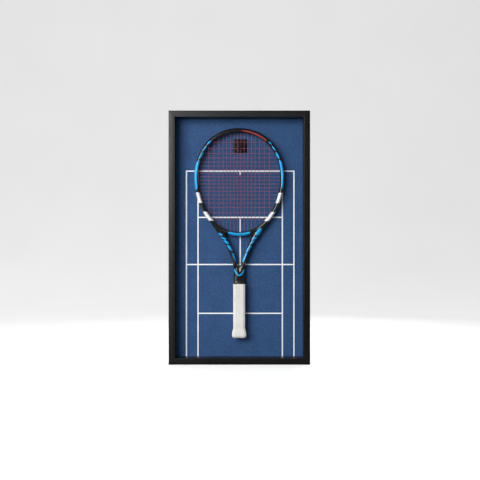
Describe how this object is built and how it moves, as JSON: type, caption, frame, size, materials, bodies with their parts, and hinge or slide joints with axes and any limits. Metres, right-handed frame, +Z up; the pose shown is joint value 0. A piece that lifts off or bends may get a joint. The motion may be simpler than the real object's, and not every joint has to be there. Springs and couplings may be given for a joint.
{
  "type": "racket display frame",
  "caption": "Deep open-fronted black box frame that shows a strung racket on a hook before a blue court print.",
  "frame": {"origin": "middle of the frame's width and depth, on the surface that it stands on", "axes": "+Z up, +X to the right as seen from the front, the open front faces -Y"},
  "size_m": [0.458, 0.0638, 0.822],
  "materials": {
    "satin_black_wood": "satin black stain, fine closed grain",
    "galvanised_steel": "zinc plated, dull",
    "blue_card": "matt blue coated card with a fine grain",
    "white_ink": "matt white printed line",
    "grey_board": "plain fibreboard",
    "brown_hardboard": "brown hardboard",
    "black_plastic": "moulded black nylon",
    "black_steel": "black plated steel",
    "painted_graphite": "gloss black lacquer with blue, white and red painted bands",
    "red_string": "translucent red monofilament",
    "foam_core": "rigid foam",
    "white_plastic": "moulded white nylon",
    "white_grip": "soft white perforated wrap",
    "black_rubber": "matt black rubber"
  },
  "bodies": {
    "frame": {"frame_bottom_rail": "satin_black_wood", "frame_top_rail": "satin_black_wood", "frame_left_stile": "satin_black_wood", "frame_right_stile": "satin_black_wood", "corner_nail_bottom_left": "galvanised_steel", "corner_nail_bottom_right": "galvanised_steel", "corner_nail_top_left": "galvanised_steel", "corner_nail_top_right": "galvanised_steel", "court_print": "blue_card", "court_lines": "white_ink", "backing_board": "grey_board", "back_panel": "brown_hardboard", "turn_button_screw_1": "galvanised_steel", "turn_button_screw_2": "galvanised_steel", "turn_button_screw_3": "galvanised_steel", "turn_button_screw_4": "galvanised_steel", "turn_button_screw_5": "galvanised_steel", "turn_button_screw_6": "galvanised_steel", "hanger_strap_left": "galvanised_steel", "hanger_strap_right": "galvanised_steel", "hanger_screw_left_upper": "galvanised_steel", "hanger_screw_left_lower": "galvanised_steel", "hanger_screw_right_upper": "galvanised_steel", "hanger_screw_right_lower": "galvanised_steel", "wall_bumper_left": "black_rubber", "wall_bumper_right": "black_rubber", "mount_plate": "black_plastic", "mount_screw_left": "galvanised_steel", "mount_screw_right": "galvanised_steel", "racket_hook": "black_steel", "hook_nut": "galvanised_steel"},
    "racket": {"racket_frame": "painted_graphite", "bumper_guard": "black_plastic", "main_string": "red_string", "cross_string": "red_string", "handle_pallet": "foam_core", "butt_cap": "white_plastic", "grip_wrap": "white_grip", "grip_collar": "black_rubber"},
    "turn_button_1": {"turn_button_1": "galvanised_steel"},
    "turn_button_2": {"turn_button_2": "galvanised_steel"},
    "turn_button_3": {"turn_button_3": "galvanised_steel"},
    "turn_button_4": {"turn_button_4": "galvanised_steel"},
    "turn_button_5": {"turn_button_5": "galvanised_steel"},
    "turn_button_6": {"turn_button_6": "galvanised_steel"},
    "hanger_ring_left": {"hanger_ring_left": "galvanised_steel"},
    "hanger_ring_right": {"hanger_ring_right": "galvanised_steel"}
  },
  "joints": [
    {"name": "racket_lift", "type": "slide", "parent": "frame", "child": "racket", "axis": [0, -0.5, 0.866], "range_m": [0, 0.032]},
    {"name": "turn_button_1_turn", "type": "hinge", "parent": "frame", "child": "turn_button_1", "pos_m": [-0.22, 0.0274, 0.1644], "axis": [0, 1, 0], "range_deg": [-90, 90]},
    {"name": "turn_button_2_turn", "type": "hinge", "parent": "frame", "child": "turn_button_2", "pos_m": [-0.22, 0.0274, 0.6576], "axis": [0, 1, 0], "range_deg": [-90, 90]},
    {"name": "turn_button_3_turn", "type": "hinge", "parent": "frame", "child": "turn_button_3", "pos_m": [0.22, 0.0274, 0.1644], "axis": [0, 1, 0], "range_deg": [-90, 90]},
    {"name": "turn_button_4_turn", "type": "hinge", "parent": "frame", "child": "turn_button_4", "pos_m": [0.22, 0.0274, 0.6576], "axis": [0, 1, 0], "range_deg": [-90, 90]},
    {"name": "turn_button_5_turn", "type": "hinge", "parent": "frame", "child": "turn_button_5", "pos_m": [0, 0.0274, 0.813], "axis": [0, 1, 0], "range_deg": [-90, 90]},
    {"name": "turn_button_6_turn", "type": "hinge", "parent": "frame", "child": "turn_button_6", "pos_m": [0, 0.0274, 0.009], "axis": [0, 1, 0], "range_deg": [-90, 90]},
    {"name": "hanger_ring_left_swing", "type": "hinge", "parent": "frame", "child": "hanger_ring_left", "pos_m": [-0.2205, 0.02935, 0.59], "axis": [1, 0, 0], "range_deg": [0, 180]},
    {"name": "hanger_ring_right_swing", "type": "hinge", "parent": "frame", "child": "hanger_ring_right", "pos_m": [0.2205, 0.02935, 0.59], "axis": [1, 0, 0], "range_deg": [0, 180]}
  ]
}
